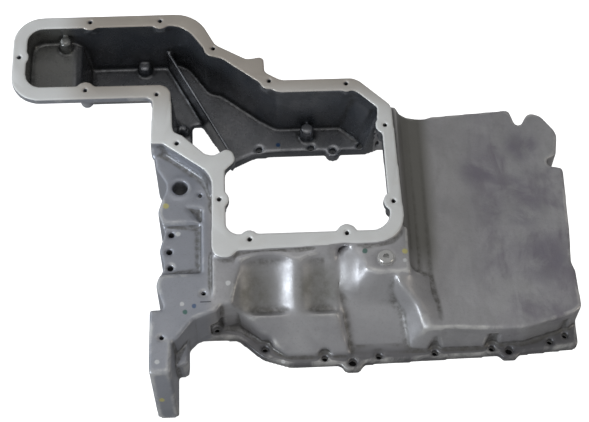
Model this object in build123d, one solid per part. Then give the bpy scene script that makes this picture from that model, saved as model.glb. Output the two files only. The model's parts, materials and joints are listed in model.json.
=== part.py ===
from build123d import *
import os
from math import hypot, radians, sin, sqrt, tan

# Levels above the engine face, in millimetres
RING_TOP = 85.0
RING_THICK = 10.0
RING_UNDER = RING_TOP - RING_THICK
PLATE_TOP = 67.0
PLATE_DISH = 62.5
PANEL_TOP = 50.0
RAIL_TOP = 10.0
DEEP_FLOOR = 6.0
MID_FLOOR = 12.0
SHALLOW_FLOOR = 58.0
RIB_TOP = 38.0
GULLY_TOP = 66.0
PAD_TOP = 81.5
RECESS_TOP = 45.0
KNUCKLE_TOP = 34.0

# Walls and draft
WALL = 5.5
SKIN = 6.0
DRAFT = 3.0

# Screw holes and the plug
TAPPED_HOLE_R = 2.55
TAPPED_HOLE_DEPTH = 22.0
RING_BOSS_R = 10.8
RING_BOSS_DEPTH = 18.0
RAIL_HOLE_R = 3.3
RAIL_LUG_HOLE_R = 4.3
PLATE_HOLE_R = 3.4
DOWEL_HOLE_R = 8.25
SCALLOP_R = 8.5
COLUMN_R = 14.0
FAR_LUG_R = 8.5
PLUG_SEAT_R = 10.5
PLUG_SEAT_DEPTH = 1.0
PLUG_THREAD_R = 6.0
PLUG_THREAD_LENGTH = 12.0
PLUG_HEAD_R = 8.0
PLUG_HEAD_HEIGHT = 2.6
PLUG_HEX = 6.0
WASHER_R = 9.0
WASHER_THICK = 1.4

# Near slope and its scoops: y and z of the slope's ends; x, radius and depth of each scoop
SLOPE_HIGH = (-55.0, PAD_TOP)
SLOPE_LOW = (-103.0, 47.0)
SLOPE_FOOT = (-136.0, 10.0)
SCOOP_RISE = 5.0
SCOOP_TOP_ROUND = 9.0
SCOOP_LOW_ROUND = 4.0
SCOOPS = [(-31.0, 44.0, 10.0), (29.0, 40.0, 9.0)]
RIDGE_R = 12.0

# Plan outlines: x, y and corner radius
RING_OUTER = [
    (-307, 147, 33), (-305, 257, 33), (-101.7, 257, 40), (-80, 214, 12), (-46, 193.8, 6),
    (-26.8, 196.3, 5), (-26.3, 176, 8), (-9, 165, 15), (74, 165, 22), (111.3, 127.7, 15),
    (116, -38, 32), (-62, -43.7, 8), (-68, -51.3, 8), (-88.3, -51.3, 12.5), (-86.8, 47.8, 28),
    (-139.5, 88, 4), (-152.5, 88, 2), (-150, 146.7, 8),
]
RING_INNER = [
    (-290.5, 164.5, 18), (-290, 241.5, 18), (-115, 241.5, 34), (-87, 199.5, 10),
    (-73, 194.9, 10), (-29.5, 159.7, 20), (-13, 148.8, 14), (72, 148.8, 16), (95.3, 125.9, 5),
    (94.2, 112, 3), (98.4, 101, 3),
    (100.5, -24.5, 20), (-72.8, -25, 15), (-72.7, 52, 9), (-60, 64, 8), (-66, 82, 8),
    (-84, 71, 8), (-93, 73, 8), (-118, 97.5, 10), (-128, 102, 8), (-130.5, 163, 14),
]
CRANKCASE = [
    (-131, 72, 10), (-131, -120, 8), (-122, -127, 6), (-86, -88, 8), (-60, -91.5, 12),
    (-36, -110, 14), (-12, -128, 12), (118, -124, 10), (150, -118, 10), (206, -121, 10),
    (238, -120, 20), (290, -103, 8), (290, 57, 8), (270, 66, 8), (243, 114, 8), (238, 127, 8),
    (110, 127, 8), (100, 120, 6), (87, 115, 4), (-8, 115, 30), (-40, 113, 30), (-77, 95, 4),
    (-83, 128, 20), (-99, 157, 8), (-110, 157, 5), (-110, 104, 10),
]
PANEL = [
    (100, 131, 0), (151.3, 130.5, 4), (157.5, 133, 4), (246, 138.8, 5), (252, 117.5, 4.5),
    (258.5, 120, 3), (267, 135.5, 8), (281, 130, 14), (297, 107, 18), (292.5, 79, 5),
    (281, 74, 3), (282, 66, 4), (298.3, 62.5, 5), (295.5, -20, 12), (292.8, -52, 6),
    (296.3, -63, 6), (297.4, -105, 5), (288, -111.5, 4), (238, -126.3, 20), (206.6, -127.4, 20),
    (150, -123.5, 4), (136, -104, 6), (118, -60, 0), (100, -60, 0),
]
PLATE = [
    (-152.5, 98, 0), (-148.6, 82, 10), (-148.4, 68, 12), (-135.5, 46, 16), (-145.8, 13, 14),
    (-138.3, -9, 9), (-143.8, -30, 8), (-138.8, -50, 10), (-147.7, -72, 14), (-139.5, -97, 3),
    (-139.5, -110, 0), (-130, -141, 5), (-108, -112.5, 12), (-84, -104, 3), (-80, -97, 0),
    (-80, 98, 0),
]
RAIL = [
    (-131, 98, 4), (-131, -135, 0), (-115, -135, 0), (-115, -110.5, 5), (-89, -109.8, 14),
    (-64, -110.5, 14), (-38, -134, 30), (-8, -144, 30), (44, -143.4, 7), (49, -151.4, 7.5),
    (64, -151.4, 7.5), (69, -143, 7), (212, -138, 5), (217, -143.8, 5), (229, -143.8, 5),
    (234, -138, 5), (297.5, -133, 7), (298.3, 62.5, 5), (282, 66, 4), (252, 117.5, 4.5),
    (246, 150, 6), (112, 150, 6), (104, 132, 4),
]
SHOULDER_FOOT = [
    (-88, -20, 0), (-88, -97.5, 0), (-62, -97.5, 0), (-36, -117, 20), (-12, -134, 20),
    (20, -135.5, 20),
    (118, -131.5, 20), (150, -129, 0), (150, -20, 0),
]

# Screw places in plan
RING_HOLES = [
    (-298.5, 204.5), (-220.8, 249.2), (-142, 248.6), (-82.8, 209.3), (-21.7, 164.1),
    (63.2, 157.9), (102.6, 103), (105.2, 8.9), (53.9, -27.4), (-48.2, -31.4),
    (-79.2, 17.2), (-123.9, 87.5), (-145.7, 150.7), (-224.1, 158.6),
]
NEAR_HOLES = [
    (-85.9, -99.5), (-35.5, -124.3), (27.4, -136.8), (84.6, -136.6), (144, -134.8),
    (204.9, -131.8), (267.4, -126.1), (284.2, -119.7),
]
NEAR_LUG_HOLES = [(56.6, -142.4), (223, -134.7)]
FAR_HOLES = [(-34.9, 119), (24, 119.5), (80, 120)]
FAR_LUG_HOLES = [(48.5, 115.5)]
PANEL_FAR_HOLES = [(122, 143), (180, 143), (238, 143)]
PLATE_HOLES = [(-131.1, -12.2), (-133.2, -32.2), (-132.2, -51)]
PLATE_SMALL_HOLES = [(-100, 32.5), (-97.5, -83.3)]
LEG_HOLE = (-140.9, -131.7)
DOWEL_HOLE = (-121.4, 41.9)
PLUG_PLACE = (93.1, -56)

# Round bosses in the pockets: x, y, radius, level of the floor and of the top
POCKET_BOSSES = [
    (-249.5, 231.8, 7.3, 53.0, 75.0), (-164.3, 232.6, 7.6, 0.0, 18.5), (20.0, 134.7, 8.0, 0.0, 30.0),
    (-120.0, 147.0, 5.5, 0.0, 20.0),
]

BASE = (Align.CENTER, Align.CENTER, Align.MIN)
CROWN = (Align.CENTER, Align.CENTER, Align.MAX)


def is_left_turn(corners, i):
    """Whether the outline turns left at a corner."""
    ax, ay, radius = corners[i - 1]
    bx, by, radius = corners[i]
    cx, cy, radius = corners[(i + 1) % len(corners)]
    return (bx - ax) * (cy - by) - (by - ay) * (cx - bx) > 0


def outline(corners):
    """Closed face through corners that are rounded by their own radius."""
    count = len(corners)
    places = [Vector(x, y) for x, y, radius in corners]
    rounds = []
    for i, (x, y, radius) in enumerate(corners):
        back = (places[i - 1] - places[i]).normalized()
        ahead = (places[(i + 1) % count] - places[i]).normalized()
        half = radians(back.get_angle(ahead)) / 2
        reach = radius / tan(half)
        middle = places[i] + (back + ahead).normalized() * (radius / sin(half) - radius)
        rounds.append((places[i] + back * reach, middle, places[i] + ahead * reach, reach))
    edges = []
    for i, (first, middle, last, reach) in enumerate(rounds):
        following = rounds[(i + 1) % count]
        spare = (places[(i + 1) % count] - places[i]).length - reach - following[3]
        if spare < -0.01:
            raise ValueError(f"the rounds at {corners[i]} and after it overlap by {-spare:.1f}")
        if reach > 0.01:
            edges.append(ThreePointArc(first, middle, last))
        if spare > 0.01:
            edges.append(Line(last, following[0]))
    return make_face(edges)


def moved(corners, distance):
    """The same outline with each side moved outward, for corners listed clockwise."""
    count = len(corners)
    sides = []
    for i, (x, y, radius) in enumerate(corners):
        start = Vector(x, y)
        end = Vector(corners[(i + 1) % count][0], corners[(i + 1) % count][1])
        ahead = (end - start).normalized()
        sides.append((start + Vector(-ahead.Y, ahead.X) * distance, ahead))
    result = []
    for i, (x, y, radius) in enumerate(corners):
        (start, along), (other, across) = sides[i - 1], sides[i]
        gap = other - start
        turn = along.X * across.Y - along.Y * across.X
        meet = start + along * ((gap.X * across.Y - gap.Y * across.X) / turn)
        grow = -distance if is_left_turn(corners, i) else distance
        result.append((meet.X, meet.Y, max(radius + grow, 0.5) if radius else 0))
    return result


def slab(face, low, high):
    """Straight prism of a plan face between two levels."""
    return Pos(0, 0, low) * extrude(face, high - low)


def drafted(corners, top, low, draft=DRAFT):
    """Prism that narrows from its top level down to its low level."""
    inset = (top - low) * tan(radians(draft))
    lower = Pos(0, 0, low) * outline(moved(corners, -inset))
    return loft([lower, Pos(0, 0, top) * outline(corners)], ruled=True)


def discs(places, radius):
    """Round faces at plan places."""
    return [Pos(x, y) * Circle(radius) for x, y in places]


def along_x(profile, start, end):
    """Prism of a profile of y and z points between two x places."""
    face = make_face(Polyline([(start, y, z) for y, z in profile], close=True))
    return extrude(face, end - start, dir=(1, 0, 0))


def along_y(profile, start, end):
    """Prism of a profile of x and z points between two y places."""
    face = make_face(Polyline([(x, start, z) for x, z in profile], close=True))
    return extrude(face, end - start, dir=(0, 1, 0))


def drill(place, radius, top, depth):
    """Round hole of a given depth below its top level."""
    return Pos(place[0], place[1], top + 1) * Cylinder(radius, depth + 1, align=CROWN)


def make_ring():
    """Sealing ring with a boss round each screw hole."""
    ring = slab(outline(RING_OUTER) - outline(RING_INNER), RING_UNDER, RING_TOP)
    bumps = slab(outline(RING_INNER) & (Sketch() + discs(RING_HOLES, RING_BOSS_R)), RING_UNDER, RING_TOP)
    ring += bumps
    for x, y in RING_HOLES:
        ring += Pos(x, y, RING_UNDER) * Cylinder(RING_BOSS_R - 3.3, RING_BOSS_DEPTH, align=CROWN)
    return ring


def make_corner_wall():
    """Wall that leans inward below the ring's far right corner."""
    foot = [(58, 144, 0), (76, 127, 4), (86, 111, 0), (98, 111, 0), (98, 140, 0), (70, 158, 0)]
    crown = [(72, 149, 0), (91.5, 130.5, 4), (94.5, 114, 0), (106, 114, 0), (106, 142, 0), (82, 160, 0)]
    return loft([Pos(0, 0, MID_FLOOR - 1) * outline(foot),
                 Pos(0, 0, RING_UNDER + 1) * outline(crown)], ruled=True)


def make_pocket():
    """Far wall and side pocket with its floors at three levels."""
    hull = drafted(moved(RING_INNER, WALL), RING_UNDER + 1, 0)
    space = drafted(RING_INNER, RING_TOP, -1)
    walls = hull - space
    deep = slab(Pos(-160, 175) * Rectangle(150, 160), 0, DEEP_FLOOR)
    mid = slab(outline([(-138, 245, 0), (-62, 90, 0), (-40, 80, 0), (112, 80, 0), (112, 245, 0)]),
               0, MID_FLOOR)
    shallow = along_y([(-310, 0), (-310, SHALLOW_FLOOR), (-240, SHALLOW_FLOOR), (-232, 50),
                       (-226, DEEP_FLOOR), (-226, 0)], 140, 260)
    near_slope = along_x([(146, 0), (200, 0), (200, DEEP_FLOOR), (165, 78), (146, 78)], -305, -147)
    body = walls + ((deep + mid + shallow + near_slope + make_corner_wall()) & hull)
    body -= along_y([(-320, -1), (-320, 53), (-240, 53), (-233, -1)], 130, 270)
    body -= along_x([(120, -1), (193, -1), (160, 70), (120, 70)], -320, -152.5)
    return body


def make_rib():
    """Tall thin rib that runs from the far wall to the ring's tongue."""
    plan = outline([(-140.5, 243, 0), (-136.5, 243, 0), (-63.5, 99, 0), (-67.5, 99, 0)])
    return slab(plan, 0, RIB_TOP)


def make_panel():
    """Big flat front panel with its hooked ear."""
    panel = slab(outline(PANEL), 0, PANEL_TOP)
    near_wall = along_x([(-118, 0), (-118, 50), (-123.5, 50), (-131, 10), (-131, 0)], 148, 206)
    under_ear = outline([(246, 108, 0), (262, 150, 0), (310, 120, 0), (284, 70, 0), (272, 70, 0)])
    return panel + near_wall - slab(under_ear, -1, 20)


def slope_frame(x, lift, start):
    """Frame on the near slope whose z axis runs down it, from a distance below its upper end."""
    along = Vector(0, SLOPE_LOW[0] - SLOPE_HIGH[0], SLOPE_LOW[1] - SLOPE_HIGH[1]).normalized()
    outward = Vector(0, along.Z, -along.Y)
    place = Vector(x, SLOPE_HIGH[0], SLOPE_HIGH[1]) + outward * lift + along * start
    return Plane(place, x_dir=(1, 0, 0), z_dir=along)


def scoops_tool():
    """Bar that cuts both scoops and the round ridge between them, with rounded ends."""
    (x1, r1, depth1), (x2, r2, depth2) = SCOOPS
    first, second = Vector(x1, r1 - depth1), Vector(x2, r2 - depth2)
    gap = second - first
    reach = (gap.length ** 2 + (r1 + RIDGE_R) ** 2 - (r2 + RIDGE_R) ** 2) / (2 * gap.length)
    drop = sqrt((r1 + RIDGE_R) ** 2 - reach ** 2)
    along = gap.normalized()
    ridge = first + along * reach + Vector(along.Y, -along.X) * drop
    touch1 = ridge + (first - ridge).normalized() * RIDGE_R
    touch2 = ridge + (second - ridge).normalized() * RIDGE_R
    high = r1 + 10
    profile = make_face([
        ThreePointArc(first - Vector(r1, 0), first - Vector(0, r1), touch1),
        ThreePointArc(touch1, ridge + Vector(0, RIDGE_R), touch2),
        ThreePointArc(touch2, second - Vector(0, r2), second + Vector(r2, 0)),
        Line(second + Vector(r2, 0), (x2 + r2, high)),
        Line((x2 + r2, high), (x1 - r1, high)),
        Line((x1 - r1, high), first - Vector(r1, 0)),
    ])
    length = hypot(SLOPE_LOW[0] - SLOPE_HIGH[0], SLOPE_LOW[1] - SLOPE_HIGH[1])
    bar = extrude(profile, length + SCOOP_RISE - 1)
    low_end = bar.faces().sort_by(Axis.Z)[-1].edges().filter_by(GeomType.CIRCLE)
    bar = fillet(low_end, SCOOP_LOW_ROUND)
    top_end = bar.faces().sort_by(Axis.Z)[0].edges().filter_by(GeomType.CIRCLE)
    bar = fillet(top_end, SCOOP_TOP_ROUND)
    return slope_frame(0, 0, -SCOOP_RISE) * bar


def scoop_wall(x, radius, depth):
    """Bar that stands for the wall under a scoop."""
    length = hypot(SLOPE_LOW[0] - SLOPE_HIGH[0], SLOPE_LOW[1] - SLOPE_HIGH[1]) + 2 * WALL + SCOOP_RISE
    bar = Cylinder(radius + WALL, length, align=BASE)
    return slope_frame(x, radius - depth, -WALL - SCOOP_RISE) * bar


def section_loft(sections):
    """Ruled body through upright sections, each a y place and its x and z points."""
    faces = [make_face(Polyline([(x, y, z) for x, z in profile], close=True))
             for y, profile in sections]
    return loft(faces, ruled=True)


def make_shoulder():
    """Sloping near side with its scoops, the plug's plateau, the recess and the gully."""
    base = along_x([(-20, 0), (-20, PAD_TOP), SLOPE_HIGH, SLOPE_LOW, SLOPE_FOOT, (-140, 0)], -62, 56)
    base &= along_y([(-62, 0), (-62, 90), (44, 90), (44, 45), (54, 10), (54, 0)], -145, -15)
    gully = along_x([(-40, 0), (-40, PAD_TOP), (-49, PAD_TOP), (-96, GULLY_TOP), (-97.5, 58),
                     (-97.5, 0)], -88, -60)
    base = base + gully - scoops_tool()
    plateau = loft([
        Pos(0, 0, RECESS_TOP) * outline([(40, -20, 0), (36, -50, 0), (50, -88, 6), (70, -89.5, 0),
                                         (118, -89.5, 0), (118, -20, 0)]),
        Pos(0, 0, PAD_TOP) * outline([(60, -20, 0), (60, -43, 0), (72, -68, 6), (84, -73, 0),
                                      (118, -73, 0), (118, -20, 0)]),
    ], ruled=True)
    recess = along_x([(-20, 0), (-20, RECESS_TOP), (-89, RECESS_TOP), (-126, 13), (-140, 8), (-140, 0)],
                     43, 118)
    shoulder = (base + plateau + recess) & slab(outline(SHOULDER_FOOT), 0, 90)
    flank = along_y([(100, 0), (100, 77), (116, 77), (122, 62), (130, 54), (142, 50), (142, 0)],
                    -70, 131)
    nose = section_loft([
        (-66, [(96, 30), (98, 70), (101, PAD_TOP), (117, 81), (141, 50), (141, 30)]),
        (-84, [(98, 30), (100, 60), (105, 79), (119, 71), (143, 50), (143, 30)]),
        (-100, [(110, 20), (113, 42), (122, 65), (130, 61), (147, 50), (147, 20)]),
        (-124.5, [(114, 8), (119, 22), (131, 46), (137, 50), (150, 50), (150, 8)]),
        (-131.5, [(116, 8), (120, 9), (131, 10), (138, 10), (150, 10), (150, 8)]),
    ])
    return shoulder + flank + nose


def make_plate():
    """Gearbox side plate and the leg that carries its flange."""
    plate = slab(outline(PLATE), 0, PLATE_TOP)
    plate -= slab(outline([(-160, -2, 0), (-99, -2, 2), (-99, -60, 2), (-160, -60, 0)]),
                  PLATE_DISH, PLATE_TOP + 1)
    ramp = along_y([(-120, PLATE_TOP), (-98, PLATE_DISH), (-98, 70), (-120, 70)], -10, 25)
    plate -= ramp & slab(outline([(-118, 20, 0), (-98, 15, 0), (-98, -3, 0)]), 50, 80)
    leg = loft([
        outline([(-149.5, -100, 0), (-149.5, -194, 5), (-126.5, -194, 4), (-126.5, -100, 0)]),
        Pos(0, 0, PLATE_TOP) * outline([(-153.8, -100, 0), (-154.3, -170.5, 4), (-131.5, -170.5, 4),
                                        (-130, -100, 0)]),
    ], ruled=True)
    knuckle = slab(Pos(-124, -130) * RectangleRounded(18, 40, 7), 0, KNUCKLE_TOP)
    band_low = [(-152.5, 79, 0), (-132, 79, 6), (-97, 50, 20), (-89, 30, 0), (-80, 30, 0),
                (-80, 98, 0), (-152.5, 98, 0)]
    band_high = [(-152.5, 88, 0), (-139.5, 88, 4), (-87, 47.8, 28), (-87.5, 30, 0), (-80, 30, 0),
                 (-80, 98, 0), (-152.5, 98, 0)]
    band = loft([Pos(0, 0, PLATE_DISH) * outline(band_low),
                 Pos(0, 0, RING_UNDER + 2) * outline(band_high)], ruled=True)
    return plate + leg + knuckle + band


def make_cavity():
    """Space under the whole casting that is open to the engine."""
    plan = outline(CRANKCASE) - discs(NEAR_HOLES + NEAR_LUG_HOLES, COLUMN_R)
    plan -= discs(FAR_LUG_HOLES, FAR_LUG_R)
    under_panel = slab(outline([(118, 150, 0), (118, -88, 0), (138, -104, 0), (138, -150, 0),
                                (320, -150, 0), (320, 150, 0)]), -1, PANEL_TOP - SKIN)
    under_ring = slab(Pos(16, 45) * Rectangle(190, 150), -1, RING_UNDER - 1)
    under_gully = slab(Pos(-90, -60) * Rectangle(28, 100), -1, GULLY_TOP - SKIN)
    under_gully += slab(Pos(-75, -60) * Rectangle(58, 100), -1, RIB_TOP)
    under_plate = slab(Pos(-112, -5) * Rectangle(70, 260), -1, PLATE_DISH - SKIN)
    under_pocket = slab(Pos(-100, 130) * Rectangle(80, 100), -1, MID_FLOOR + 1)
    under_slope = along_x([(-29, -1), (-29, 74), (-46, 74), (-101, 39), (-137, 3), (-137, -1)],
                          -61, 38)
    under_recess = along_x([(-29, -1), (-29, 38), (-80, 38), (-118, 4), (-118, -1)], 37, 121)
    under_plateau = loft([
        Pos(0, 0, 37) * outline([(43, -29, 0), (43, -50, 0), (57, -80, 0), (72, -81, 0),
                                 (121, -81, 0), (121, -29, 0)]),
        Pos(0, 0, PAD_TOP - WALL - 2) * outline([(64, -29, 0), (64, -43, 0), (75, -60, 0),
                                                 (84, -64, 0), (108, -64, 0), (108, -29, 0)]),
    ], ruled=True)
    for scoop in SCOOPS:
        under_slope -= scoop_wall(*scoop)
    spaces = under_panel + under_ring + under_gully + under_plate + under_pocket
    spaces += under_slope + under_recess + under_plateau
    return spaces & slab(plan, -1, RING_UNDER)


def make_casting():
    body = make_shoulder() + make_panel() + make_plate() + slab(outline(RAIL), 0, RAIL_TOP)
    body -= drafted(RING_INNER, RING_TOP + 1, -1)
    body += make_pocket()
    body -= make_cavity()
    body += make_rib() + make_ring()
    for x, y, radius, floor, top in POCKET_BOSSES:
        boss = Cylinder(radius, top - floor, align=BASE)
        body += Pos(x, y, floor) * chamfer(boss.edges().group_by(Axis.Z)[-1], 2.5)
    x, y = PLUG_PLACE
    body += Pos(x, y, 56) * Cylinder(12.6, PAD_TOP - 56, align=BASE)
    body -= Pos(x, y, PAD_TOP - PLUG_SEAT_DEPTH) * Cylinder(PLUG_SEAT_R, 5, align=BASE)
    body -= Pos(x, y, 50) * Cylinder(PLUG_THREAD_R, 40, align=BASE)
    x, y = DOWEL_HOLE
    body += Pos(x, y, 20) * Cylinder(13.5, PLATE_TOP + 0.8 - 20, align=BASE)
    body -= Pos(x, y, -1) * Cylinder(DOWEL_HOLE_R, 90, align=BASE)
    for x, y in NEAR_HOLES:
        body -= Pos(x, y, RAIL_TOP) * Cylinder(SCALLOP_R, 26, align=BASE)
    for place in NEAR_HOLES + PANEL_FAR_HOLES + FAR_HOLES + FAR_LUG_HOLES:
        body -= drill(place, RAIL_HOLE_R, MID_FLOOR, MID_FLOOR + 1)
    for place in NEAR_LUG_HOLES:
        body -= drill(place, RAIL_LUG_HOLE_R, RAIL_TOP, RAIL_TOP + 1)
    for place in RING_HOLES:
        body -= drill(place, TAPPED_HOLE_R, RING_TOP, TAPPED_HOLE_DEPTH)
    for place in PLATE_HOLES:
        body += Pos(place[0], place[1], 40) * Cylinder(8, PLATE_DISH - 40, align=BASE)
        body -= drill(place, PLATE_HOLE_R, PLATE_DISH, 20)
    for place in PLATE_SMALL_HOLES + [LEG_HOLE]:
        body -= drill(place, TAPPED_HOLE_R, PLATE_TOP, 16)
    return body


def make_plug():
    """Hexagon socket plug with a flanged head that sits on its washer."""
    seat = PAD_TOP - PLUG_SEAT_DEPTH + WASHER_THICK
    plug = Cylinder(PLUG_HEAD_R, PLUG_HEAD_HEIGHT, align=BASE)
    plug = chamfer(plug.edges().group_by(Axis.Z)[-1], 0.7)
    plug += Cylinder(PLUG_THREAD_R, PLUG_THREAD_LENGTH, align=CROWN)
    plug -= Pos(0, 0, PLUG_HEAD_HEIGHT - 6) * extrude(RegularPolygon(PLUG_HEX / 2, 6, major_radius=False), 8)
    return Pos(*PLUG_PLACE, seat) * plug


def make_washer():
    """Flat sealing washer under the plug's head."""
    ring = Circle(WASHER_R) - Circle(PLUG_THREAD_R + 0.1)
    seat = PAD_TOP - PLUG_SEAT_DEPTH
    return Pos(*PLUG_PLACE) * slab(ring, seat, seat + WASHER_THICK)


os.makedirs("parts", exist_ok=True)
casting = make_casting()
box = casting.bounding_box()
to_origin = Pos(-(box.min.X + box.max.X) / 2, -(box.min.Y + box.max.Y) / 2, -box.min.Z)
export_step(to_origin * casting, "parts/pan_casting.step")
export_step(to_origin * make_plug(), "parts/level_plug.step")
export_step(to_origin * make_washer(), "parts/plug_washer.step")
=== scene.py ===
import json
import math

import bpy
import bmesh
import numpy as np
from mathutils import Matrix, Vector


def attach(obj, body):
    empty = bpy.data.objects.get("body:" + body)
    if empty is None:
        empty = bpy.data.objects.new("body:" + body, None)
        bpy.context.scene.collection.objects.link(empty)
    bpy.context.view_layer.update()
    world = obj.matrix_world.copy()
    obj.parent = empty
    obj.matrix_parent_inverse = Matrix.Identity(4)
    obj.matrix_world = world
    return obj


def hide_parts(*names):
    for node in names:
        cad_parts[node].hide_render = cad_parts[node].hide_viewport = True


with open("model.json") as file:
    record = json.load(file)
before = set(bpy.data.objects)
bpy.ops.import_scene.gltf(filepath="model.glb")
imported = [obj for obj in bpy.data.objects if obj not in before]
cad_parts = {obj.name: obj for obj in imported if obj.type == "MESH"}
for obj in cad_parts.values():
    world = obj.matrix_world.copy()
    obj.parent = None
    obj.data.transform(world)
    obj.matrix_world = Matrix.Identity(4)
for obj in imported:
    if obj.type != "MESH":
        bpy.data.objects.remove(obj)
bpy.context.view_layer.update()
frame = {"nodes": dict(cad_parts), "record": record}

MM = 0.001

# Where the drawing's zero lies in the row frame, in millimetres
ORIGIN = (4.0566, -31.5)

# Level of the milled ring, in millimetres
RING_TOP = 85.0

# Camera: elevation, turn and roll in degrees, distance in millimetres, and its lens
CAMERA_ELEVATION = 62.0
CAMERA_TURN = 3.2
CAMERA_ROLL = 1.05
CAMERA_DISTANCE = 1580.0
CAMERA_AIM_Z = 85.0
CAMERA_CLIP_END = 50
PHOTO_WIDTH = 589.0
FOCAL_PIXELS = 1500.0
SENSOR = 36.0


def place(x, y, z):
    """A point of the drawing, in millimetres, as metres in the row frame."""
    return Vector(((x + ORIGIN[0]) * MM, (y + ORIGIN[1]) * MM, z * MM))


def tone(red, green, blue):
    return (red, green, blue, 1)


# Node helpers
class Graph:
    """A node tree that is built step by step."""

    def __init__(self, tree):
        self.tree = tree

    def add(self, kind, **values):
        node = self.tree.nodes.new(kind)
        for key, value in values.items():
            setattr(node, key, value)
        return node

    def link(self, source, target):
        self.tree.links.new(source, target)

    def feed(self, socket, value):
        """Gives a socket either another node's output or a constant."""
        if hasattr(value, "links"):
            self.link(value, socket)
        else:
            socket.default_value = value

    def split(self, vector):
        node = self.add("ShaderNodeSeparateXYZ")
        self.link(vector, node.inputs[0])
        return node.outputs

    def ramp(self, value, low, high, first=0.0, last=1.0):
        """A smooth step from first at low to last at high."""
        node = self.add("ShaderNodeMapRange", interpolation_type="SMOOTHSTEP")
        self.link(value, node.inputs["Value"])
        node.inputs["From Min"].default_value = low
        node.inputs["From Max"].default_value = high
        node.inputs["To Min"].default_value = first
        node.inputs["To Max"].default_value = last
        return node.outputs["Result"]

    def both(self, *factors):
        """The product of several masks."""
        result = factors[0]
        for factor in factors[1:]:
            node = self.add("ShaderNodeMath", operation="MULTIPLY")
            self.feed(node.inputs[0], result)
            self.feed(node.inputs[1], factor)
            result = node.outputs[0]
        return result


class Skin(Graph):
    """A material that is built step by step, with the drawing's coordinates at hand."""

    def __init__(self, name, metallic=0.0):
        self.material = bpy.data.materials.new(name)
        self.material.use_nodes = True
        super().__init__(self.material.node_tree)
        self.tree.nodes.clear()
        output = self.add("ShaderNodeOutputMaterial")
        self.shader = self.add("ShaderNodeBsdfPrincipled")
        self.link(self.shader.outputs["BSDF"], output.inputs["Surface"])
        self.give("Metallic", metallic)
        self.position = self.add("ShaderNodeTexCoord").outputs["Object"]
        self.drawing = self.scaled((1 / MM, 1 / MM, 1 / MM), (-ORIGIN[0], -ORIGIN[1], 0))
        self.x, self.y, self.z = self.split(self.drawing)

    def give(self, socket, value):
        self.feed(self.shader.inputs[socket], value)

    def scaled(self, factors, offset=(0, 0, 0)):
        """The position after a scale and a shift."""
        node = self.add("ShaderNodeMapping")
        self.link(self.position, node.inputs["Vector"])
        node.inputs["Scale"].default_value = factors
        node.inputs["Location"].default_value = offset
        return node.outputs["Vector"]

    def noise(self, scale, detail, roughness, distortion=0.0, vector=None):
        node = self.add("ShaderNodeTexNoise")
        self.link(vector or self.position, node.inputs["Vector"])
        node.inputs["Scale"].default_value = scale
        node.inputs["Detail"].default_value = detail
        node.inputs["Roughness"].default_value = roughness
        node.inputs["Distortion"].default_value = distortion
        return node.outputs["Fac"]

    def pattern(self, kind, first=0.0, last=1.0, vector=None):
        """One of the patterns of noise, as a mask from first to last."""
        *grain, low, high = kind
        return self.ramp(self.noise(*grain, vector=vector), low, high, first, last)

    def band(self, value, low, high, soft):
        """1 from low to high with soft ends, in millimetres of the drawing."""
        rise = self.ramp(value, low - soft, low + soft)
        fall = self.ramp(value, high - soft, high + soft, 1, 0)
        return self.both(rise, fall)

    def near(self, centre, radius, soft, vector=None):
        """1 inside a ball round a point of the drawing, in millimetres, 0 outside."""
        gap = self.add("ShaderNodeVectorMath", operation="DISTANCE")
        self.link(vector or self.drawing, gap.inputs[0])
        gap.inputs[1].default_value = centre
        return self.ramp(gap.outputs["Value"], radius - soft, radius + soft, 1, 0)

    def mix(self, factor, a, b):
        node = self.add("ShaderNodeMix", data_type="RGBA")
        self.feed(node.inputs[0], factor)
        self.feed(node.inputs[6], a)
        self.feed(node.inputs[7], b)
        return node.outputs[2]

    def coated(self, base, coat, *masks):
        """A base with a coat over it, which is a tone and how much of it covers, where the masks are 1."""
        colour, share = coat
        return self.mix(self.both(*masks, share), base, colour)

    def relief(self, *layers, vector=None):
        """Fine bumps: each layer has a grain of noise, a depth in millimetres and a strength."""
        normal = None
        for grain, depth, strength in layers:
            node = self.add("ShaderNodeBump")
            node.inputs["Strength"].default_value = strength
            node.inputs["Distance"].default_value = depth * MM
            self.link(self.noise(*grain, vector=vector), node.inputs["Height"])
            if normal is not None:
                self.link(normal, node.inputs["Normal"])
            normal = node.outputs["Normal"]
        self.give("Normal", normal)


# Patterns of noise: features per metre, detail, roughness, distortion, and the values taken as 0 and 1
CLOUDS = (11, 4, 0.6, 0.6, 0.35, 0.65)
MOTTLE = (70, 5, 0.65, 0, 0.3, 0.7)
STREAKS = (45, 4, 0.6, 0.8, 0.35, 0.7)
STAIN_CLOUDS = (16, 5, 0.62, 0.4, 0.42, 0.62)
STAIN_EDGES = (24, 5, 0.65, 0.8, 0.35, 0.6)
SPECKLE = (420, 3, 0.7, 0, 0.5, 0.75)
# Patterns that break up the hollows' dirt and painted shade and the edges' wear and painted highlight
BROKEN_DIRT_SHADE = (180, 4, 0.65, 0, 0.3, 0.65)
PATCHY_WEAR_SHEEN = (28, 5, 0.65, 0.5, 0.42, 0.62)
MILLED_CLOUDS = (14, 3, 0.5, 0, 0.3, 0.7)
OIL_FILM = (30, 4, 0.6, 0.5, 0.5, 0.75)
POCKET_CLOUDS = (18, 4, 0.6, 0.5, 0.35, 0.65)
POCKET_GRIME = (55, 5, 0.65, 0.4, 0.45, 0.7)

# Streaks run along the drawing's y, and the cutter's marks even more so
STREAK_STRETCH = (1, 0.35, 1)
CUTTER_STRETCH = (1, 0.15, 1)

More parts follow.
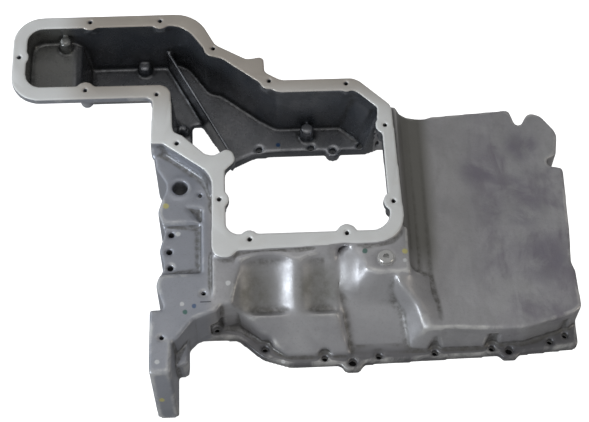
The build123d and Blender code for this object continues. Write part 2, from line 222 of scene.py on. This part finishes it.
# Paint marks: colour, then the place on the casting in millimetres and the radius
YELLOW = tone(0.75, 0.68, 0.22)
WHITE = tone(0.85, 0.86, 0.86)
GREEN = tone(0.03, 0.16, 0.12)
BLUE = tone(0.05, 0.12, 0.26)
PAINT_MARKS = [
    (YELLOW, (-136.4, 20.4, 67), 3.2),
    (YELLOW, (113.3, -49.3, 81.5), 3.0),
    (YELLOW, (-143.0, -184.4, 27.5), 2.8),
    (WHITE, (-123.9, -11.3, 62.5), 2.6),
    (WHITE, (-71.8, -75.5, 72.8), 2.6),
    (WHITE, (-119.8, -95.0, 67), 2.4),
    (WHITE, (-145.4, -158.5, 67), 2.4),
    (WHITE, (-17.0, -139.8, 10), 2.4),
    (WHITE, (112.5, -59.8, 81.5), 2.0),
    (GREEN, (-116.8, -104.1, 67), 2.6),
    (GREEN, (71.6, -47.9, 81.5), 2.8),
    (BLUE, (-107.5, -97.7, 67), 2.4),
]
FLOOR_MARK = (BLUE, (-13.2, 124.2, 12), 2.6)

# How a dot's edge blurs and wobbles in millimetres, the wobbles per metre, and how much it covers
PAINT_EDGE = 0.7
PAINT_WOBBLE = 1.6
PAINT_WOBBLES = 260
PAINT_COVER = 0.75

# The ink dash in millimetres: ends along x, line along y, level, and how far it reaches and blurs
DASH_ENDS = (-101.2, -89.9)
DASH_LINE = -93.4
DASH_LEVEL = 67
DASH_HALF, DASH_BLUR = 0.6, 0.5
DASH_SLACK, DASH_SLACK_BLUR = 3, 1
INK_COAT = (tone(0.03, 0.03, 0.05), 0.8)


def paint_marks(n, base):
    """The brushed dots of paint and the short ink dash that the casting carries."""
    wobble = n.add("ShaderNodeTexNoise")
    n.link(n.position, wobble.inputs["Vector"])
    wobble.inputs["Scale"].default_value = PAINT_WOBBLES
    shift = n.add("ShaderNodeVectorMath", operation="SCALE")
    n.link(wobble.outputs["Color"], shift.inputs[0])
    shift.inputs["Scale"].default_value = PAINT_WOBBLE
    ragged = n.add("ShaderNodeVectorMath", operation="ADD")
    n.link(n.drawing, ragged.inputs[0])
    n.link(shift.outputs[0], ragged.inputs[1])
    mean_shift = Vector((PAINT_WOBBLE / 2, PAINT_WOBBLE / 2, PAINT_WOBBLE / 2))
    for colour, centre, radius in PAINT_MARKS:
        dot = n.near(Vector(centre) + mean_shift, radius, PAINT_EDGE, ragged.outputs[0])
        base = n.coated(base, (colour, PAINT_COVER), dot)
    along = n.band(n.x, *DASH_ENDS, DASH_HALF)
    across = n.band(n.y, DASH_LINE - DASH_HALF, DASH_LINE + DASH_HALF, DASH_BLUR)
    level = n.band(n.z, DASH_LEVEL - DASH_SLACK, DASH_LEVEL + DASH_SLACK, DASH_SLACK_BLUR)
    return n.coated(base, INK_COAT, along, across, level)


# Crease values from which the hollows' dirt and painted shade and the edges' wear and painted highlight
# show and at which they are full, and how strong they get
DIRT_SHADE_CREASE, DIRT_SHADE_SHARE, DIRT_SHADE_LEAST = (0.54, 0.80), 0.75, 0.35
WEAR_SHEEN_CREASE, WEAR_SHEEN_SHARE = (0.38, 0.08), 0.5


def dirt_shade_and_wear_sheen(n, base, darkening, wear_sheen):
    """Darkens the hollow corners with dirt and painted shade, and brightens the edges with wear and a
    painted highlight.
    """
    crease = n.add("ShaderNodeAttribute", attribute_name="crease").outputs["Fac"]
    hollow_dirt_shade = n.ramp(crease, *DIRT_SHADE_CREASE, 0, DIRT_SHADE_SHARE)
    base = n.mix(n.both(hollow_dirt_shade, n.pattern(BROKEN_DIRT_SHADE, DIRT_SHADE_LEAST, 1)), base, darkening)
    edge = n.ramp(crease, *WEAR_SHEEN_CREASE, 0, WEAR_SHEEN_SHARE)
    return n.mix(n.both(edge, n.pattern(PATCHY_WEAR_SHEEN)), base, wear_sheen)


# The milled faces: tones, the beige far stretch with its place in millimetres, and a thin film of oil
MILLED_DARK, MILLED_PALE = tone(0.88, 0.885, 0.87), tone(0.94, 0.945, 0.93)
BEIGE_COAT = (tone(0.46, 0.405, 0.345), 0.9)
BEIGE_X, BEIGE_Y = (-262, -215), (110, 175)
FILM_COAT = (tone(0.70, 0.65, 0.56), 0.2)
MILLED_METALLIC = 0.2
MILLED_ROUGHNESS = 0.45
MILLED_RELIEF = ((500, 2, 0.5), 0.1, 0.3)

# How far below the ring's top the rough skin takes on the milled look, in millimetres
MILLED_START, MILLED_FULL = 1.3, 0.9


def milled_tone(n):
    """The colour of the milled ring: pale, with a beige stretch along the far edge."""
    base = n.mix(n.pattern(MILLED_CLOUDS), MILLED_DARK, MILLED_PALE)
    base = n.coated(base, BEIGE_COAT, n.ramp(n.y, *BEIGE_Y), n.ramp(n.x, *BEIGE_X))
    return n.coated(base, FILM_COAT, n.pattern(OIL_FILM))


def with_milled_top(n, base, metallic):
    """Gives a rough skin its colour and metal, with the milled ring's at the ring's level."""
    top = n.ramp(n.z, RING_TOP - MILLED_START, RING_TOP - MILLED_FULL)
    n.give("Base Color", n.mix(top, base, milled_tone(n)))
    n.give("Metallic", n.ramp(top, 0, 1, metallic, MILLED_METALLIC))


def machined_material():
    """The milled ring and the milled engine face."""
    n = Skin("machined_face", MILLED_METALLIC)
    n.give("Base Color", milled_tone(n))
    n.give("Roughness", MILLED_ROUGHNESS)
    n.relief(MILLED_RELIEF, vector=n.scaled(CUTTER_STRETCH))
    return n.material


# The casting's outside: tones, and coats of a tone and how much of it covers
CAST_DARK, CAST_PALE = tone(0.44, 0.435, 0.45), tone(0.56, 0.555, 0.565)
MOTTLE_COAT = (tone(0.40, 0.39, 0.405), 0.25)
DEEP_STAIN_COAT = (tone(0.25, 0.23, 0.28), 1)
STAIN_COAT = (tone(0.27, 0.24, 0.30), 1)
PANEL_COAT = (tone(0.37, 0.365, 0.365), 0.4)
# Painted shade: dark olive on the right-facing slope between the ring and the panel
SLOPE_SHADE_COAT = (tone(0.215, 0.21, 0.185), 0.85)
# Painted shade: darker olive on the right-facing flanks of the two scoops
SCOOP_SHADE_COAT = (tone(0.235, 0.23, 0.205), 1)
# Painted shade: dark low on the near rail, under the shoulder
RAIL_SHADE_COAT = (tone(0.10, 0.098, 0.104), 0.8)
PLATE_COAT = (tone(0.39, 0.41, 0.465), 0.75)
# Painted shade: darker on the leg's steep end, where the face turns down
LEG_END_SHADE_COAT = (tone(0.30, 0.31, 0.33), 0.4)
SPECKLE_COAT = (tone(0.25, 0.245, 0.245), 0.25)
# Dark of the hollows, dirt and painted shade, and bright of the edges, wear and painted highlight
CAST_DIRT_SHADE, CAST_WEAR_SHEEN = tone(0.12, 0.115, 0.10), tone(0.93, 0.92, 0.88)
CAST_METALLIC = 0.6
CAST_ROUGHNESS = (0.36, 0.46)
CAST_RELIEF = (((120, 4, 0.6), 0.6, 0.3), ((650, 3, 0.6), 0.2, 0.35))

# Where those coats lie, in millimetres of the drawing: where each fades in or out, or its soft span
PANEL_STAINS = [((237, 22, 50), 34), ((268, -48, 50), 26), ((205, 62, 50), 20), ((255, 90, 50), 18)]
STAIN_BLUR = 0.6
STAINED_X = (175, 225)
PANEL_X, PANEL_BLUR = (145, 400), 12
SLOPE_X, SLOPE_BLUR, SLOPE_Y = (116, 150), 9, (-75, -25)
SCOOPS, SCOOP_RADIUS, SCOOP_BLUR = [(-44, -80, 60), (22, -80, 60)], 24, 14
RAIL_Z, RAIL_Y = (9, 16), (-100, -118)
PLATE_X = (-86, -98)
LEG_END_X, LEG_END_Y = (-110, -125), (-176, -190)

# How much a pattern thins and thickens a coat
DEEP_STAIN_SPAN = (0.1, 0.8)
STAIN_SPAN = (0.3, 0.95)
SCOOP_SPAN = (0.55, 0.85)


def cast_material():
    """The outside of the casting: grey with clouds, purple stains on the panel, and painted shade low down
    on the near rail, on the scoops' flanks, on the slope by the ring and on the leg's end.
    """
    n = Skin("cast_skin")
    mottle = n.pattern(MOTTLE)
    streaks = n.pattern(STREAKS, vector=n.scaled(STREAK_STRETCH))
    base = n.mix(n.pattern(CLOUDS), CAST_DARK, CAST_PALE)
    base = n.coated(base, MOTTLE_COAT, mottle)
    for centre, radius in PANEL_STAINS:
        stain = n.near(centre, radius, radius * STAIN_BLUR)
        base = n.coated(base, DEEP_STAIN_COAT, stain, n.pattern(STAIN_EDGES, *DEEP_STAIN_SPAN))
    stained = n.both(n.ramp(n.x, *STAINED_X), n.pattern(STAIN_CLOUDS))
    base = n.coated(base, STAIN_COAT, stained, n.ramp(streaks, 0, 1, *STAIN_SPAN))
    base = n.coated(base, PANEL_COAT, n.band(n.x, *PANEL_X, PANEL_BLUR), streaks)
    # Painted shade on the right-facing slope by the ring
    base = n.coated(base, SLOPE_SHADE_COAT, n.band(n.x, *SLOPE_X, SLOPE_BLUR), n.ramp(n.y, *SLOPE_Y))
    # Painted shade on the scoops' right-facing flanks, broken up by the mottle
    for centre in SCOOPS:
        scoop = n.near(centre, SCOOP_RADIUS, SCOOP_BLUR)
        base = n.coated(base, SCOOP_SHADE_COAT, scoop, n.ramp(mottle, 0, 1, *SCOOP_SPAN))
    # Painted shade low on the near rail
    base = n.coated(base, RAIL_SHADE_COAT, n.ramp(n.z, *RAIL_Z, 1, 0), n.ramp(n.y, *RAIL_Y))
    base = n.coated(base, PLATE_COAT, n.ramp(n.x, *PLATE_X))
    # Painted shade on the leg's steep end
    base = n.coated(base, LEG_END_SHADE_COAT, n.ramp(n.y, *LEG_END_Y), n.ramp(n.x, *LEG_END_X))
    base = n.coated(base, SPECKLE_COAT, n.pattern(SPECKLE))
    # Hollows darkened with dirt and painted shade, edges brightened with wear and a painted highlight
    base = dirt_shade_and_wear_sheen(n, base, CAST_DIRT_SHADE, CAST_WEAR_SHEEN)
    with_milled_top(n, paint_marks(n, base), CAST_METALLIC)
    n.give("Roughness", n.ramp(mottle, 0, 1, *CAST_ROUGHNESS))
    n.relief(*CAST_RELIEF)
    return n.material


# The pocket: tones of walls and floor, the walls darker as painted shade, coats, and the x in millimetres
# where the shallow end starts
SHADED_WALL_DARK, SHADED_WALL_PALE = tone(0.115, 0.125, 0.145), tone(0.17, 0.175, 0.19)
GROUND_DARK, GROUND_PALE = tone(0.25, 0.255, 0.27), tone(0.33, 0.33, 0.34)
# How far up a face's normal points for the floor's tone instead of the walls' painted shade
GROUND_FACING = (0.55, 0.9)
SHALLOW_COAT = (tone(0.26, 0.26, 0.24), 0.7)
SHALLOW_X = (-236, -246)
OIL_COAT = (tone(0.08, 0.085, 0.09), 0.4)
# Dark of the hollows, oil and painted shade, and bright of the edges, wear and painted highlight
OILED_DIRT_SHADE, OILED_WEAR_SHEEN = tone(0.06, 0.06, 0.06), tone(0.42, 0.43, 0.46)
POCKET_METALLIC = 0.7
POCKET_ROUGHNESS = (0.26, 0.40)
POCKET_RELIEF = ((90, 4, 0.6), 0.8, 0.3)


def pocket_material():
    """The inside of the pocket: dark and blue-grey, partly oil and partly painted shade of the deep
    pocket, with the walls painted darker than the paler floor.
    """
    n = Skin("oiled_pocket")
    clouds = n.pattern(POCKET_CLOUDS)
    shaded_wall = n.mix(clouds, SHADED_WALL_DARK, SHADED_WALL_PALE)
    ground = n.mix(clouds, GROUND_DARK, GROUND_PALE)
    facing = n.split(n.add("ShaderNodeNewGeometry").outputs["Normal"])
    # Painted shade: walls darker than floors by the way their faces turn
    base = n.mix(n.ramp(facing["Z"], *GROUND_FACING), shaded_wall, ground)
    base = n.coated(base, SHALLOW_COAT, n.ramp(n.x, *SHALLOW_X))
    darkening = n.pattern(POCKET_GRIME)
    base = n.coated(base, OIL_COAT, darkening)
    colour, centre, radius = FLOOR_MARK
    base = n.mix(n.near(centre, radius, PAINT_EDGE), base, colour)
    # Hollows darkened with oil and painted shade, edges brightened with wear and a painted highlight
    with_milled_top(n, dirt_shade_and_wear_sheen(n, base, OILED_DIRT_SHADE, OILED_WEAR_SHEEN), POCKET_METALLIC)
    n.give("Roughness", n.ramp(darkening, 0, 1, *POCKET_ROUGHNESS))
    n.relief(POCKET_RELIEF)
    return n.material


# The plug and its washer: tones, their grain, roughness and fine relief
STEEL_DARK, STEEL_PALE = tone(0.62, 0.62, 0.61), tone(0.75, 0.75, 0.74)
STEEL_GRAIN = (200, 3, 0.5)
STEEL_ROUGHNESS = 0.32
STEEL_RELIEF = ((900, 2, 0.5), 0.1, 0.3)


def steel_material():
    """The zinc-plated plug and its washer."""
    n = Skin("plug_steel", 1.0)
    n.give("Base Color", n.mix(n.noise(*STEEL_GRAIN), STEEL_DARK, STEEL_PALE))
    n.give("Roughness", STEEL_ROUGHNESS)
    n.relief(STEEL_RELIEF)
    return n.material


# The set: roughness, the floor's tone and gloss, and the tone of the dark under the holes
MATT = 0.9
FLOOR_TONE = tone(0.9, 0.9, 0.9)
FLOOR_GLOSS = 0.1
SHADE_TONE = tone(0.02, 0.02, 0.022)


def floor_material():
    """A floor that is pure white to the camera."""
    n = Skin("pale_floor")
    n.give("Base Color", FLOOR_TONE)
    n.give("Roughness", MATT)
    n.give("Specular IOR Level", FLOOR_GLOSS)
    n.give("Emission Color", tone(1, 1, 1))
    n.give("Emission Strength", 1.0)
    return n.material


def shade_material():
    """The dark under the holes."""
    n = Skin("hole_shade")
    n.give("Base Color", SHADE_TONE)
    n.give("Roughness", MATT)
    return n.material


# Cast body: cell of the remesh in millimetres, triangles of the finished skin, and how near two face
# corners lie to be one, in metres
VOXEL = 1.35
BODY_TRIANGLES = 185000
WELD = 1e-6

# Easing of the whole skin: share and rounds, and the distance in millimetres from the ring's top and
# from the engine face within which the skin stays as it is
SKIN_EASING, SKIN_ROUNDS = 0.5, 10
KEPT_LEVELS = 0.9

# Boxes of the near shoulder, its rise and the rise's ridge, low and high corner in millimetres, where
# the cast forms flow into each other, with the share and rounds of easing and the boxes' soft edge
SHOULDER_BOX = ((-60, -125, 14), (128, -37, 81))
RISE_BOX = ((18, -98, 55), (72, -39, 86))
RIDGE_BOX = ((33, -96, 56), (64, -38, 88))
EASINGS = [((SHOULDER_BOX, RISE_BOX), 0.5, 45), ((RIDGE_BOX,), 0.9, 110)]
BOX_EDGE = 5

# The rise from the right scoop to the plateau, in millimetres: its width, where it starts and ends
# from near to far, its top, and its height on either side at its middle with the slope in y
RISE_WIDTH = (39, 63)
RISE_FOOT = (-86, -76)
RISE_FAR = -38
RISE_TOP = 81.5
RISE_MIDDLE = -54
RISE_SCOOP_HEIGHT, RISE_SCOOP_SLOPE = 73.2, 0.72
RISE_PLATEAU_HEIGHT, RISE_PLATEAU_SLOPE = 77.3, 0.57
SKYWARD = 0.02

# Crease: rounds of easing that it looks over, the depth in millimetres that counts in full, its value
# on flat skin, and the box round the foot of the rise where neither the hollows' dirt and painted shade
# nor the edges' wear and painted highlight show
CREASE_ROUNDS = 10
CREASE_DEPTH = 0.5
CREASE_FLAT = 0.5
CALM_BOX = ((30, -92, 60), (62, -36, 84))


def evaluated(obj):
    """The mesh of an object with its modifiers applied."""
    graph = bpy.context.evaluated_depsgraph_get()
    return bpy.data.meshes.new_from_object(obj.evaluated_get(graph))


def in_scene(name, data):
    """A new object of the scene."""
    obj = bpy.data.objects.new(name, data)
    bpy.context.scene.collection.objects.link(obj)
    return obj


def with_modifier(mesh, kind, **values):
    """A mesh after one modifier."""
    carrier = in_scene("carrier", mesh)
    modifier = carrier.modifiers.new("step", kind)
    for key, value in values.items():
        setattr(modifier, key, value)
    result = evaluated(carrier)
    bpy.data.objects.remove(carrier)
    return result


def welded(mesh):
    """A copy of a mesh with its face corners joined."""
    copy = mesh.copy()
    bm = bmesh.new()
    bm.from_mesh(copy)
    bmesh.ops.remove_doubles(bm, verts=bm.verts, dist=WELD)
    bm.to_mesh(copy)
    bm.free()
    return copy


def rows(items, field):
    """A three-part field of a mesh's vertices or faces, as an array with a row for each."""
    values = np.empty(len(items) * 3)
    items.foreach_get(field, values)
    return values.reshape(-1, 3)


def edge_ends(mesh):
    ends = np.empty(len(mesh.edges) * 2, int)
    mesh.edges.foreach_get("vertices", ends)
    return ends.reshape(-1, 2)


def smoothed(co, edges, weight, rounds):
    """Vertices eased toward the mean of their neighbours by their weight."""
    first, second = edges[:, 0], edges[:, 1]
    count = len(co)
    valence = np.bincount(first, minlength=count) + np.bincount(second, minlength=count)
    for _ in range(rounds):
        mean = np.empty_like(co)
        for axis in range(3):
            total = np.bincount(first, co[second, axis], count)
            total += np.bincount(second, co[first, axis], count)
            mean[:, axis] = total / valence
        co = co + (mean - co) * weight[:, None]
    return co


def depth_in(points, boxes):
    """How deep each point lies in the box it is deepest in, negative outside."""
    return np.max([np.minimum(points - low, high - points).min(axis=1) for low, high in boxes], axis=0)


def eased_step(value, low, high):
    """0 below low, 1 above high, and a smooth step between."""
    share = np.clip((value - low) / (high - low), 0, 1)
    return share * share * (3 - 2 * share)


def filled_rise(mesh, co):
    """Lifts the hollow between the right scoop and the plateau to one smooth rise."""
    x, y = co[:, 0] - ORIGIN[0], co[:, 1] - ORIGIN[1]
    ahead = y - RISE_MIDDLE
    low = np.minimum(RISE_TOP, RISE_SCOOP_HEIGHT + RISE_SCOOP_SLOPE * ahead)
    high = np.minimum(RISE_TOP, RISE_PLATEAU_HEIGHT + RISE_PLATEAU_SLOPE * ahead)
    target = low + (high - low) * eased_step(x, *RISE_WIDTH)
    lift = np.maximum(target - co[:, 2], 0) * eased_step(y, *RISE_FOOT)
    outer = rows(mesh.vertices, "normal")[:, 2] > SKYWARD
    outer &= (x > RISE_WIDTH[0]) & (x < RISE_WIDTH[1]) & (y < RISE_FAR)
    lifted = co.copy()
    lifted[outer, 2] += lift[outer]
    return lifted


def eased_skin(co, edges):
    """The skin with soft edges and corners, softest on the near shoulder."""
    weight = np.full(len(co), SKIN_EASING)
    weight[(co[:, 2] > RING_TOP - KEPT_LEVELS) | (co[:, 2] < KEPT_LEVELS)] = 0
    co = smoothed(co, edges, weight, SKIN_ROUNDS)
    drawn = co - (ORIGIN[0], ORIGIN[1], 0)
    for boxes, share, rounds in EASINGS:
        weight = share * np.clip(depth_in(drawn, boxes) / BOX_EDGE, 0, 1)
        co = smoothed(co, edges, weight, rounds)
    co[:, 2] = np.clip(co[:, 2], 0, RING_TOP)
    return co, drawn


def creases(mesh, co, edges, drawn):
    """The flat value on flat skin, toward 1 in a hollow corner and toward 0 on an edge."""
    eased = smoothed(co, edges, np.ones(len(co)), CREASE_ROUNDS)
    height = ((eased - co) * rows(mesh.vertices, "normal")).sum(axis=1)
    values = np.clip(CREASE_FLAT * (1 + height / CREASE_DEPTH), 0, 1)
    values[depth_in(drawn, [CALM_BOX]) > 0] = CREASE_FLAT
    return values


def cast_body(node):
    """The casting with the soft edges and hollow corners that a mould gives."""
    mesh = with_modifier(welded(node.data), "REMESH", mode="VOXEL", voxel_size=VOXEL * MM)
    edges = edge_ends(mesh)
    co, drawn = eased_skin(filled_rise(mesh, rows(mesh.vertices, "co") / MM), edges)
    mesh.vertices.foreach_set("co", (co * MM).ravel())
    mesh.update()
    crease = mesh.attributes.new("crease", "FLOAT", "POINT")
    crease.data.foreach_set("value", creases(mesh, co, edges, drawn))
    triangles = sum(len(p.vertices) - 2 for p in mesh.polygons)
    mesh = with_modifier(mesh, "DECIMATE", ratio=BODY_TRIANGLES / triangles)
    co = rows(mesh.vertices, "co")
    co[:, 2] = np.clip(co[:, 2], 0, RING_TOP * MM)
    mesh.vertices.foreach_set("co", co.ravel())
    mesh.shade_smooth()
    return in_scene("cast_body", mesh)


# Which CAD corners count as the ring's top: those at most this far below it, in millimetres
LEVEL_SLACK = 0.1


def ring_loops(node):
    """The edge loops of the ring's milled face, in millimetres, the longest way round first."""
    bm = bmesh.new()
    bm.from_mesh(welded(node.data))
    level = (RING_TOP - LEVEL_SLACK) * MM
    top = {face for face in bm.faces if all(v.co.z > level for v in face.verts)}
    following = {}
    for edge in bm.edges:
        owners = [face for face in edge.link_faces if face in top]
        if len(owners) == 1:
            for vertex in edge.verts:
                following.setdefault(vertex, []).append(edge.other_vert(vertex))
    loops = []
    while following:
        vertex = next(iter(following))
        loop = []
        while vertex in following:
            loop.append((vertex.co.x / MM, vertex.co.y / MM))
            onward = [v for v in following.pop(vertex) if v in following]
            vertex = onward[0] if onward else None
        loops.append(np.array(loop))
    bm.free()
    return sorted(loops, key=lambda loop: -np.ptp(loop, axis=0).sum())


def inside(points, loop):
    """Whether each plan point lies inside a closed loop."""
    result = np.zeros(len(points), bool)
    x, y = points[:, 0], points[:, 1]
    for (x0, y0), (x1, y1) in zip(loop, np.roll(loop, -1, axis=0)):
        if y0 != y1:
            crosses = (y0 > y) != (y1 > y)
            result ^= crosses & (x < x0 + (y - y0) * (x1 - x0) / (y1 - y0))
    return result


# Material slots of the body
CAST, MACHINED, POCKET = range(3)

# How far a face of the pocket's wall looks for the pocket, in millimetres
WALL_REACH = 13.0

# How far in millimetres a milled face may lie from its level, and the least height of its normal
MILLED_SLACK = 0.6
MILLED_FACING = 0.9

# The least height of the normal of a face that belongs to the pocket
POCKET_FACING = -0.5


def paint_body(body, materials, pocket_edge):
    """Gives each face of the body its material slot."""
    body.data.materials.clear()
    for material in materials:
        body.data.materials.append(material)
    centre = rows(body.data.polygons, "center") / MM
    normal = rows(body.data.polygons, "normal")
    plan = centre[:, :2]
    within = inside(plan, pocket_edge) | inside(plan + normal[:, :2] * WALL_REACH, pocket_edge)
    index = np.full(len(centre), CAST)
    index[within & (normal[:, 2] > POCKET_FACING)] = POCKET
    index[(centre[:, 2] > RING_TOP - MILLED_SLACK) & (normal[:, 2] > MILLED_FACING)] = MACHINED
    index[(centre[:, 2] < MILLED_SLACK) & (normal[:, 2] < -MILLED_FACING)] = MACHINED
    body.data.polygons.foreach_set("material_index", index)


casting = frame["nodes"]["pan_casting"]
body = cast_body(casting)
paint_body(body, [cast_material(), machined_material(), pocket_material()], ring_loops(casting)[1])
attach(body, "root")
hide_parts("pan_casting")

steel = steel_material()
for name in ("level_plug", "plug_washer"):
    node = frame["nodes"][name]
    node.data.materials.clear()
    node.data.materials.append(steel)


# Floor: half its width in metres, and the holes that show it
FLOOR_SPAN = 6.0
THROUGH_HOLES = ("rail_", "inner_rail_", "far_rail_", "plate_large", "plate_small", "leg_")

# Shades under the holes: how far they lap past the hole and lie above the floor, in metres, their
# spread with the hole's height, and their corners
SHADE_LAP = 0.0003
SHADE_LEVEL = 0.0002
SHADE_SPREAD = 0.2
SHADE_CORNERS = 24


def stage_piece(name, mesh, material):
    """A piece of the set, seen by the camera alone."""
    obj = in_scene(name, mesh)
    mesh.materials.append(material)
    obj.visible_glossy = False
    obj.visible_diffuse = False


def floor_mesh():
    """A large square on the engine face's level."""
    mesh = bpy.data.meshes.new("floor")
    corners = [(x * FLOOR_SPAN, y * FLOOR_SPAN, 0) for x, y in ((-1, -1), (1, -1), (1, 1), (-1, 1))]
    mesh.from_pydata(corners, [], [(0, 1, 2, 3)])
    return mesh


def hole_shades():
    """Dark discs on the floor under the holes that go through, where a bench would lie in shade."""
    bm = bmesh.new()
    for mount in frame["record"]["mounts"]:
        if mount["name"].startswith(THROUGH_HOLES):
            x, y, z = mount["pos_m"]
            back = z / math.tan(math.radians(CAMERA_ELEVATION))
            radius = mount["dims"]["hole_r_mm"] * MM + SHADE_LAP + back * SHADE_SPREAD
            spot = Matrix.Translation((x, y + back, SHADE_LEVEL))
            bmesh.ops.create_circle(bm, cap_ends=True, segments=SHADE_CORNERS, radius=radius, matrix=spot)
    mesh = bpy.data.meshes.new("hole_shades")
    bm.to_mesh(mesh)
    bm.free()
    return mesh


stage_piece("floor", floor_mesh(), floor_material())
stage_piece("hole_shades", hole_shades(), shade_material())


# Lights: name, azimuth and elevation in degrees, width in metres, radiance and colour
COOL = (0.86, 0.93, 1.0)
WARM = (1.0, 0.92, 0.80)
PLAIN = (1.0, 0.99, 0.98)
LIGHTS = [
    ("key", 237, 19, 0.8, 16.0, COOL),
    ("left_fill", 295, 34, 1.8, 0.9, COOL),
    ("top", 320, 80, 1.6, 0.7, PLAIN),
    ("warm", 110, 22, 0.6, 4.0, WARM),
]
LIGHT_DISTANCE = 2.6


def toward(azimuth, elevation):
    """The unit direction at an azimuth, clockwise from the far side, and a height, in degrees."""
    a, e = math.radians(azimuth), math.radians(elevation)
    return Vector((math.sin(a) * math.cos(e), math.cos(a) * math.cos(e), math.sin(e)))


def soft_box(name, azimuth, elevation, size, radiance, colour):
    """A round soft light that faces the object, with its brightness as radiance."""
    lamp = bpy.data.lights.new(name, "AREA")
    lamp.shape = "DISK"
    lamp.size = size
    area = math.pi * size * size / 4
    lamp.energy = radiance * math.pi * area
    lamp.color = colour
    direction = toward(azimuth, elevation)
    obj = in_scene(name, lamp)
    obj.location = direction * LIGHT_DISTANCE
    obj.rotation_euler = (-direction).to_track_quat("-Z", "Y").to_euler()


for light in LIGHTS:
    soft_box(*light)

# The room: its level, the dimmer table below it, and the heights of direction between the two
ROOM_LEVEL = 0.34
TABLE_LEVEL = 0.22
HORIZON = (-0.3, 0.2)

# The darker stretch overhead on the far side: azimuth and elevation, level, and where it is full and
# where it ends, in degrees from its centre, then the share of light that comes from the right
DARK_CENTRE = (5, 62)
DARK_LEVEL = 0.20
DARK_INNER, DARK_OUTER = 12, 38
RIGHT_SHARE = 0.7


def light_room():
    """A grey room as the world's light."""
    room = bpy.data.worlds.new("studio")
    bpy.context.scene.world = room
    room.use_nodes = True
    g = Graph(room.node_tree)
    direction = g.add("ShaderNodeTexCoord").outputs["Generated"]
    heading = g.split(direction)
    level = g.ramp(heading["Z"], *HORIZON, TABLE_LEVEL, ROOM_LEVEL)
    facing = g.add("ShaderNodeVectorMath", operation="DOT_PRODUCT")
    g.link(direction, facing.inputs[0])
    facing.inputs[1].default_value = toward(*DARK_CENTRE)
    outer, inner = (math.cos(math.radians(angle)) for angle in (DARK_OUTER, DARK_INNER))
    dark = g.ramp(facing.outputs["Value"], outer, inner, 1.0, DARK_LEVEL / ROOM_LEVEL)
    side = g.ramp(heading["X"], 0, 1, 1.0, RIGHT_SHARE)
    g.link(g.both(level, dark, side), room.node_tree.nodes["Background"].inputs["Color"])


def aim_camera():
    """The camera that was fitted to the photo's straight and parallel edges."""
    elevation, turn, roll = (math.radians(v) for v in (CAMERA_ELEVATION, CAMERA_TURN, CAMERA_ROLL))
    level = math.cos(elevation)
    ahead = Vector((math.sin(turn) * level, math.cos(turn) * level, -math.sin(elevation)))
    right = Vector((math.cos(turn), -math.sin(turn), 0))
    above = right.cross(ahead)
    right, above = (right * math.cos(roll) + above * math.sin(roll),
                    above * math.cos(roll) - right * math.sin(roll))
    lens = bpy.data.cameras.new("camera")
    lens.sensor_width = SENSOR
    lens.lens = SENSOR * FOCAL_PIXELS / PHOTO_WIDTH
    lens.clip_end = CAMERA_CLIP_END
    camera = in_scene("camera", lens)
    spot = place(0, 0, CAMERA_AIM_Z) - ahead * CAMERA_DISTANCE * MM
    turned = Matrix((right, above, -ahead)).transposed().to_4x4()
    camera.matrix_world = Matrix.Translation(spot) @ turned
    bpy.context.scene.camera = camera


light_room()
aim_camera()
bpy.context.scene.view_settings.view_transform = "Standard"
bpy.context.scene.view_settings.look = "None"
